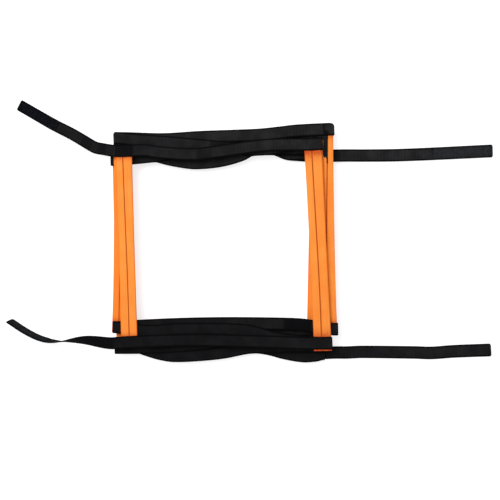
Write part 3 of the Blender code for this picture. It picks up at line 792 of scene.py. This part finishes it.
def left_tail_frame(row):
    """A left tail from the top rung: easing down to the floor while it turns about its length."""
    origin = crossing(station(1, "left"), row, 0.0)
    points = [left_tail_start(row)] + [origin + np.array([*spot, 0.0]) for spot in LEFT_TAIL_ROUTES[row]]
    plan, run = plan_curve(points, left_tail_heading(row), None, TAIL_STEP)
    turn = math.radians(TWIST[row]) * ease((run - TWIST_START) / TWIST_LENGTH)
    lean = STRAP_THICKNESS / 2.0 + (TAPE_THICKNESS if TWIST[row] else 0.0)
    rest = np.abs(np.cos(turn)) * lean + np.abs(np.sin(turn)) * STRAP_WIDTH / 2.0
    height = layer_height(1) + (rest - layer_height(1)) * ease(run / TAIL_DROP)
    return *band_frame(plan, run, height, turn), run


def right_tail_frame(row):
    """A right tail from beside the pile: down a short ramp, then flat on its loop tape."""
    spot = station(LAYERS, "right")
    origin = crossing(spot, row, 0.0)
    points = [crossing(spot, row, RIGHT_TAIL_START)]
    points += [origin + np.array([*place, 0.0]) for place in RIGHT_TAIL_ROUTES[row]]
    plan, run = plan_curve(points, spot[1], None, TAIL_STEP)
    top, low = layer_height(LAYERS), TAPE_THICKNESS + STRAP_THICKNESS / 2.0
    height = top + (low - top) * ease(run / RIGHT_TAIL_RAMP)
    return *band_frame(plan, run, height, np.zeros(len(run))), run


def stretch_of(course, start, stop, step=PART_STEP):
    """The part of a course between two distances along it, evenly spaced."""
    centre, across, normal, run = course
    places = np.linspace(start, stop, int((stop - start) / step) + 1)
    centre, across, normal = (read_off(places, run, rows) for rows in (centre, across, normal))
    return centre, unit(across), unit(normal), places


courses = {}
for row in ROWS:
    courses[("left", row)] = left_tail_frame(row)
    courses[("right", row)] = right_tail_frame(row)

for (side, row), course in courses.items():
    node = f"tail_{side}_{row}"
    centre, _, _, run = course
    carrier, begin, cut = "base", 0.0, 0.0
    if side == "left":
        carrier, begin, cut = f"root_left_{row}", ROOT_LENGTH, ROOT_LENGTH / 2.0
        mesh = band_mesh("root", *stretch_of(course, 0.0, cut))
        root = add_piece(f"root_webbing_{row}", mesh, webbing)
        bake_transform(root)
        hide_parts(carrier)
    part = stretch_of(course, cut, run[-1], TAIL_STEP / 2.0)
    trim = rounding(run[-1] - part[3], TAIL_CORNER, TAIL_CORNER)
    mesh = band_mesh("tail", *part, thickness=TAIL_THICKNESS.get((side, row), STRAP_THICKNESS),
                     trims=(trim, trim), dark=TAIL_DARK_PLACES.get((side, row), ()))
    tail = add_piece(f"tail_webbing_{side}_{row}", mesh, tail_webbing)
    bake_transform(tail)
    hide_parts(node)


# The tapes: black hook tape on the ends of the left tails, loop tape under the ends of the right ones, so
# that the folded ladder can be strapped up. Each is a thin band with a dense pile, sewn on all round.
HOOK_LENGTH = 0.105
UPPER_HOOK_LENGTH = 0.114
LOOP_LENGTH = 0.112
TAPE_MARGIN = 0.0011
TAPE_CORNER = 0.0034
TAPE_END = 0.0012
SEWN_IN = 0.0026
HOOK_DARK = (0.0012, 0.0014, 0.0024, 1.0)
HOOK_LIGHT = (0.0088, 0.0094, 0.0125, 1.0)
RIBBED_DARK = (0.0050, 0.0054, 0.0062, 1.0)
RIBBED_LIGHT = (0.0270, 0.0282, 0.0310, 1.0)
LOOP_DARK = (0.0026, 0.0026, 0.0030, 1.0)
LOOP_LIGHT = (0.0150, 0.0150, 0.0160, 1.0)


def tape_mesh(course, length, thickness, face):
    """Tape on one face of a tail's end, rounded in at its four corners."""
    end = course[3][-1] - TAPE_END
    centre, across, normal, run = stretch_of(course, end - length + TAPE_END, end)
    start_cut = rounding(run - run[0], TAPE_CORNER, TAPE_CORNER)
    end_cut = rounding(end - run, TAPE_CORNER, TAPE_CORNER)
    trim = TAPE_MARGIN + (start_cut + end_cut)
    raised = centre + normal * face * (STRAP_THICKNESS + thickness) / 2.0
    return band_mesh("tape", raised, across, normal, run, thickness=thickness, trims=(trim, trim))


def seam_round(course, length, lift, face):
    """Stitched lines round a tape: two along its edges and one across each end."""
    end = course[3][-1] - TAPE_END - SEWN_IN
    centre, across, normal, run = stretch_of(course, end - length + 2.0 * SEWN_IN, end)
    off = centre + normal * face * (STRAP_THICKNESS / 2.0 + lift)
    reach = across * (STRAP_WIDTH / 2.0 - TAPE_MARGIN - SEWN_IN)
    lines = [stitch_line(off + reach, normal * face), stitch_line(off - reach, normal * face)]
    return lines + [stitch_line(np.array([off[tip] - reach[tip], off[tip] + reach[tip]]),
                                normal[[tip, tip]] * face) for tip in (0, -1)]


def sewn_rim(across):
    """1 along a tape's two sewn edges, easing to 0 inside them."""
    return across.size().between(STRAP_WIDTH / 2.0 - EDGE_BAND - TAPE_MARGIN,
                                 STRAP_WIDTH / 2.0 - 2.0 * TAPE_MARGIN)


def tape_finish(name, dark, light, pitch, depth, slant=0.0):
    """Dense pile of hooks or loops: rows of dots in a matte ground, with lint and worn places."""
    finish = Finish(name, Roughness=0.92, Specular_IOR_Level=0.03)
    along, across = finish.cloth_place()
    dots = (along + across * slant).wave(pitch) * across.wave(pitch)
    fuzz = finish.noise(1500.0, 3.0)
    worn = finish.noise(240.0, 3.0).between(0.38, 0.66)
    shade = (dots * 0.25 + fuzz * 0.20 + worn * 0.55) * (1.0 - sewn_rim(across) * 0.95)
    finish.feed(Base_Color=finish.mix(shade, dark, light), Roughness=0.84 + fuzz * 0.14)
    finish.relief(dots + fuzz * 0.8, depth, 0.9)
    return finish


hook_tape = tape_finish("hook_tape", HOOK_DARK, HOOK_LIGHT, 0.0016, 0.00030)
ribbed_tape = tape_finish("ribbed_tape", RIBBED_DARK, RIBBED_LIGHT, 0.0030, 0.00024, slant=1.0)
loop_tape = tape_finish("loop_tape", LOOP_DARK, LOOP_LIGHT, 0.0011, 0.00022)

# Each tape's finish, its length, and the face of the tail that it is sewn on. The patched tail's loop tape
# is held by the patch's own stitches, which go through all three.
TAPES = {
    ("left", "upper"): (hook_tape, UPPER_HOOK_LENGTH, 1.0),
    ("left", "lower"): (ribbed_tape, HOOK_LENGTH, -1.0),
    ("right", "upper"): (loop_tape, LOOP_LENGTH, -1.0),
    ("right", "lower"): (loop_tape, LOOP_LENGTH, -1.0),
}
PATCHED = ("right", "upper")

for (side, row), (finish, length, face) in TAPES.items():
    course = courses[(side, row)]
    mesh = tape_mesh(course, length, TAPE_THICKNESS, face)
    tape = add_piece(f"tape_{side}_{row}", mesh, finish)
    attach(tape, f"tail_{side}_{row}")
    if (side, row) != PATCHED:
        lift, shown_face = (TAPE_THICKNESS, face) if side == "left" else (0.0, 1.0)
        sew(f"stitches_{side}_{row}", seam_round(course, length, lift, shown_face), f"tail_{side}_{row}")


# The end patch: a smooth, densely woven black cloth over the end of the upper right tail, sewn on all
# round through the tail and the loop tape under it.
PATCH_LENGTH = 0.1135
PATCH_THICKNESS = 0.0007
SATIN_PITCH = 0.0006
PATCH_DARK = (0.0060, 0.0072, 0.0086, 1.0)
PATCH_LIGHT = (0.0230, 0.0262, 0.0295, 1.0)

patch_cloth = Finish("bare_patch", Roughness=0.62, Specular_IOR_Level=0.10)
along, across = patch_cloth.cloth_place()
satin = along.wave(SATIN_PITCH) * across.wave(SATIN_PITCH)
rubbed = patch_cloth.noise(190.0, 3.0).between(0.30, 0.66)
lustre = (satin * 0.35 + rubbed * 0.65) * (1.0 - sewn_rim(across) * 0.8)
patch_cloth.feed(Base_Color=patch_cloth.mix(lustre, PATCH_DARK, PATCH_LIGHT),
                 Roughness=0.52 + rubbed * 0.2)
patch_cloth.relief(satin, 0.00008, 0.8)

course = courses[PATCHED]
mesh = tape_mesh(course, PATCH_LENGTH, PATCH_THICKNESS, 1.0)
patch = add_piece("end_patch", mesh, patch_cloth)
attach(patch, "tail_right_upper")
sew("stitches_right_upper", seam_round(course, PATCH_LENGTH, PATCH_THICKNESS, 1.0), "tail_right_upper")


# The sleeves: flat tubes of coarse orange cloth, folded round the slat so that the two edges meet in a
# seam along the top. The cloth lies flat in the middle, rolls over at both edges, draws in between
# the straps and puckers where they are sewn over it.
SLEEVE_WALL = 0.0008
SLEEVE_STEP = 0.0030
SLEEVE_CREASE = math.radians(60.0)
EDGE_SHARPNESS = 3.2
FACE_FLATNESS = 0.17
SEAM_WIDTH = 0.0026
SEAM_DEPTH = 0.00046
SEAM_LIP = 0.00012
PUCKER_PITCH = 0.0060
PUCKER_HEIGHT = 0.00013
SETTLE_PITCH = 0.061
SETTLE_HEIGHT = 0.00007
CLOTH_SINK = 0.00014
# Where the painted edge shade starts across the face, and how far it takes to reach full.
ROLLED_FROM = 0.82
ROLLED_OVER = 0.12
RUNG_SLIP = {(1, "right"): -0.0036}

# Seam of the rungs that show: share of the length from the middle, and distance from the middle line.
SEAM_PATHS = {
    1: [(-0.50, 0.0004), (-0.15, 0.0004), (0.17, -0.0002), (0.32, -0.0020), (0.50, -0.0019)],
    2: [(-0.50, -0.0020), (-0.15, -0.0006), (0.20, -0.0018), (0.50, -0.0026)],
    4: [(-0.50, -0.0034), (-0.40, -0.0030), (-0.10, -0.0009), (0.11, 0.0011), (0.30, 0.0050),
        (0.45, 0.0054)],
}
PLAIN_SEAM = [(-0.50, -0.0020), (-0.2, -0.0008), (0.2, -0.0008), (0.50, -0.0016)]

# How far the left and right edges draw in, and how strong and how long the puckers at the straps are, with
# the painted shade beside them.
WAISTS = {1: (0.0006, 0.0008), 2: (0.0016, 0.0008), 3: (0.0032, 0.0021), 5: (0.0, 0.0021),
          8: (0.0, 0.0021)}
PLAIN_WAIST = (0.0022, 0.0021)
PUCKERS = {1: (0.66, 0.0062), 2: (1.0, 0.0130)}
PLAIN_PUCKER = (0.70, 0.0060)

# Cloth turned under at the lower and upper ends, and the rungs painted a deeper orange all over, as shade
# from the rungs that lie over them.
TURNED_UNDER = {2: (0.0004, 0.0028), 3: (0.0010, 0.0018)}
PLAIN_TURN = (0.0010, 0.0010)
SHADED_RUNGS = {3: 0.55, 5: 0.55}

# Two seams that gape beside the upper strap, where the cloth is painted black: the shadow inside rung 4's
# gaping seam, and on rung 3 the webbing and shadow over its upper end. Columns: half width, distance left
# of the seam, where it begins, where it is full, and where all the cloth left of it is black.
GAPES = {4: (0.0051, 0.0036, 0.129, 0.141, 0.1795), 3: (0.0220, 0.0, 0.176, 0.1795, 0.1795)}
NO_GAPE = (0.0, 0.0, 1.0, 2.0, 3.0)

ORANGE = (0.955, 0.275, 0.036, 1.0)
PALE_ORANGE = (0.965, 0.310, 0.048, 1.0)
STREAK_ORANGE = (0.950, 0.215, 0.035, 1.0)
SLUB_ORANGE = (0.93, 0.24, 0.022, 1.0)
EDGE_SHADE_ORANGE = (0.95, 0.185, 0.006, 1.0)
SHADE_RED = (0.46, 0.032, 0.002, 1.0)
SEAM_BROWN = (0.43, 0.058, 0.003, 1.0)
GAPE_SHADOW_BLACK = (0.0020, 0.0026, 0.0040, 1.0)

cloth = Finish("sleeve_cloth", Roughness=0.78, Specular_IOR_Level=0.16, Sheen_Weight=0.06)
along, around = cloth.cloth_place()
weave = (along.wave(0.0009) * around.wave(0.0009)).between(0.05, 0.55)
streak = cloth.noise(420.0, 2.0, stretch=(1.0, 0.02, 1.0))
slub = cloth.noise(260.0, 3.0, stretch=(1.0, 0.15, 1.0))
cloudy = cloth.noise(22.0, 3.0)
blotch = cloth.noise(150.0, 3.0).between(0.30, 0.70)
face = cloth.mix(cloudy.between(0.35, 0.65), ORANGE, PALE_ORANGE)
face = cloth.mix(streak.between(0.42, 0.68) * 0.45, face, STREAK_ORANGE)
face = cloth.mix(slub.between(0.40, 0.75) * 0.25, face, SLUB_ORANGE)
# Painted shade: the cloth is a deeper orange where it rolls over at the edges.
face = cloth.mix(cloth.attribute("edge_shade") * 0.85, face, EDGE_SHADE_ORANGE)
face = cloth.mix(cloth.attribute("strap_shade") * (0.68 + blotch * 0.32), face, SHADE_RED)
face = cloth.mix(cloth.attribute("seam_gap").between(0.15, 0.75), face, SEAM_BROWN)
# Painted shadow: black inside the gaping seams and beside the upper strap.
face = cloth.mix(cloth.attribute("gape_shadow"), face, GAPE_SHADOW_BLACK)
cloth.feed(Base_Color=face, Roughness=0.70 + weave * 0.15)
cloth.relief(weave * 0.8 + slub * 0.5 + streak * 0.6, 0.00012, 0.8)


def sleeve_looks(number, reach, x, from_seam, above):
    """What the finish reads: a bell curve over the seam, a ramp of painted shade where the edges roll
    over, a fading painted shade beside the straps, and smooth steps round a gaping seam, where black is
    painted as shadow and webbing."""
    seam_gap = np.exp(-(from_seam / (SEAM_WIDTH / 2.0)) ** 2) * above
    to_edge = np.abs(x) * 2.0 / RUNG_WIDTH
    edge_shade = np.clip((to_edge - ROLLED_FROM) / ROLLED_OVER, SHADED_RUNGS.get(number, 0.0), 1.0)
    strength, length = PUCKERS.get(number, PLAIN_PUCKER)
    from_strap = np.abs(reach) - (STRAP_SPACING - STRAP_WIDTH) / 2.0
    beside = strength * np.exp(-(np.clip(-from_strap, 0.0, None) / length) ** 1.5)
    shade = np.maximum(beside, ease(from_strap / 0.004)) * np.ones_like(x)
    half_gape, aside, begin, full, black_from = GAPES.get(number, NO_GAPE)
    widened = ease((reach - full) / 0.006)
    opened = half_gape * (0.35 + 0.65 * widened) * ease((reach - begin) / 0.003)
    black_beside_strap = ease((reach - black_from) / 0.0015) * (from_seam + aside < half_gape)
    inside = ease((opened - np.abs(from_seam + aside * widened)) / 0.0006)
    gape_shadow = np.maximum(inside, black_beside_strap) * above
    return {"seam_gap": seam_gap, "edge_shade": edge_shade, "strap_shade": shade, "gape_shadow": gape_shadow}


def sleeve_rings(number):
    """Outline round the tube, z = h (1 - |x|^3.2)^0.17 on both faces, carried along it with a seam
    valley, its two lips, the waist and the puckers beside the straps."""
    count = int(RUNG_LENGTH / SLEEVE_STEP) + 1
    under_low, under_high = TURNED_UNDER.get(number, PLAIN_TURN)
    reach = np.linspace(under_low - RUNG_LENGTH / 2.0, RUNG_LENGTH / 2.0 - under_high, count)[:, None]
    share = reach / RUNG_LENGTH
    left_inset, right_inset = WAISTS.get(number, PLAIN_WAIST)
    drawn = 1.0 - np.abs(2.0 * share) ** 3
    right, left = RUNG_WIDTH / 2.0 - right_inset * drawn, RUNG_WIDTH / 2.0 - left_inset * drawn
    places, offsets = np.array(SEAM_PATHS.get(number, PLAIN_SEAM)).T
    seam = np.polyval(np.polyfit(places, offsets, 3), share)
    away = ease(np.linspace(0.0, 1.0, 25))[None]
    under = -np.cos(np.linspace(0.0, math.pi, 24))[None, 1:-1]
    right_face = seam + (right - seam) * away[:, ::-1]
    left_face = seam - (left + seam) * away[:, 1:]
    x = np.concatenate([right_face, left_face, under * np.where(under < 0.0, left, right)], axis=1)
    above = (np.arange(x.shape[1]) < right_face.shape[1] + left_face.shape[1])[None]
    to_edge = np.abs(x / np.where(x < 0.0, left, right)) ** EDGE_SHARPNESS
    z = SLEEVE_HEIGHT / 2.0 * np.clip(1.0 - to_edge, 0.0, 1.0) ** FACE_FLATNESS
    from_seam = x - seam
    looks = sleeve_looks(number, reach, x, from_seam, above)
    lips = np.exp(-((np.abs(from_seam) - SEAM_WIDTH * 0.8) / (SEAM_WIDTH * 0.3)) ** 2)
    strength, length = PUCKERS.get(number, PLAIN_PUCKER)
    clear = np.clip((STRAP_SPACING - STRAP_WIDTH) / 2.0 - np.abs(reach), 0.0, None)
    ripple = 1.0 + np.cos(2.0 * math.pi * clear / PUCKER_PITCH + 2.0 * x / RUNG_WIDTH)
    pucker = strength * PUCKER_HEIGHT * ripple * np.exp(-clear / (1.6 * length))
    settle = SETTLE_HEIGHT * np.sin(reach * 2.0 * math.pi / SETTLE_PITCH + 3.4 * number
                                    + 3.0 * x / RUNG_WIDTH)
    soft = np.clip(z / SLEEVE_HEIGHT * 4.0 - 1.0, 0.0, 1.0)
    z = z + soft * (lips * SEAM_LIP + pucker + settle - CLOTH_SINK) - looks["seam_gap"] * SEAM_DEPTH
    z = np.where(above, z, -z)
    girth = np.concatenate([[0.0], np.cumsum(np.hypot(np.diff(x[0]), np.diff(z[0])))])
    return np.stack([x, np.broadcast_to(reach, x.shape), z], axis=-1), looks, reach[:, 0], girth


def tube_mesh(outer, inner, reach, girth, looks):
    """Open-ended tube: an outer and an inner skin joined by a rim at each end."""
    around = outer.shape[1]
    loops = np.concatenate([outer, inner[::-1]])
    total = len(loops)
    quads = ring_quads(total, around, total)
    mesh = bpy.data.meshes.new("sleeve")
    mesh.from_pydata(loops.reshape(-1, 3).tolist(), [], quads.tolist())
    stretch = np.repeat(np.concatenate([reach, reach[::-1]]), around)
    both = {label: np.concatenate([values, values[::-1]]) for label, values in looks.items()}
    cloth_map(mesh, stretch, np.tile(girth, total), both)
    mesh.shade_smooth()
    mesh.set_sharp_from_angle(angle=SLEEVE_CREASE)
    return mesh


def placed(points, layer, side):
    """Points of a rung's own axes put at its place in the pile."""
    middle, along, across, _ = station(layer, side)
    lifted = middle + across * RUNG_SLIP.get((layer, side), 0.0) + UP * rung_height(layer)
    return lifted + points[..., :1] * along + points[..., 1:2] * across + points[..., 2:] * UP


for number, (layer, side) in enumerate(RUNG_PLACES, start=1):
    skin, looks, reach, girth = sleeve_rings(number)
    hollow = skin * np.array([1.0 - 2.0 * SLEEVE_WALL / RUNG_WIDTH, 1.0, 1.0])
    hollow[..., 2] = np.sign(skin[..., 2]) * np.clip(np.abs(skin[..., 2]) - SLEEVE_WALL, 0.0, None)
    mesh = tube_mesh(placed(skin, layer, side), placed(hollow, layer, side), reach, girth, looks)
    sleeve = add_piece(f"sleeve_{number:02d}", mesh, cloth)
    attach(sleeve, body_of(layer))
    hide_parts(f"rung_{number:02d}_sleeve")


# The slats: stiff pale plastic strips that keep the rungs straight. They show only in the open ends
# of the sleeves, where they stop a little short of the cloth.
SLAT_WIDTH = 0.0290
SLAT_THICKNESS = 0.0028
SLAT_INSET = 0.0031
SLAT_CORNER = 0.0030
SLAT_STEPS = 60
PLASTIC_DIM = (0.60, 0.60, 0.58, 1.0)
PLASTIC_PALE = (0.70, 0.70, 0.68, 1.0)

plastic = Finish("slat_plastic", Roughness=0.42)
drawn_lines = plastic.noise(60.0, 3.0, stretch=(12.0, 0.4, 12.0))
plastic.feed(Base_Color=plastic.mix(drawn_lines, PLASTIC_DIM, PLASTIC_PALE),
             Roughness=0.36 + drawn_lines * 0.15)
plastic.relief(drawn_lines, 0.00005, 0.5)

for number, (layer, side) in enumerate(RUNG_PLACES, start=1):
    run = np.linspace(0.0, RUNG_LENGTH - 2.0 * SLAT_INSET, SLAT_STEPS)
    line = placed(np.column_stack([0.0 * run, run - run[-1] / 2.0, 0.0 * run]), layer, side)
    widthways, upwards = (np.repeat(direction[None], len(run), axis=0)
                          for direction in (station(layer, side)[1], UP))
    corners = rounding(np.minimum(run, run[-1] - run), SLAT_CORNER, SLAT_CORNER)
    mesh = band_mesh("slat", line, widthways, upwards, run, SLAT_WIDTH, SLAT_THICKNESS, (corners, corners))
    slat = add_piece(f"slat_{number:02d}", mesh, plastic)
    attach(slat, body_of(layer))
    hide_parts(f"rung_{number:02d}_slat")
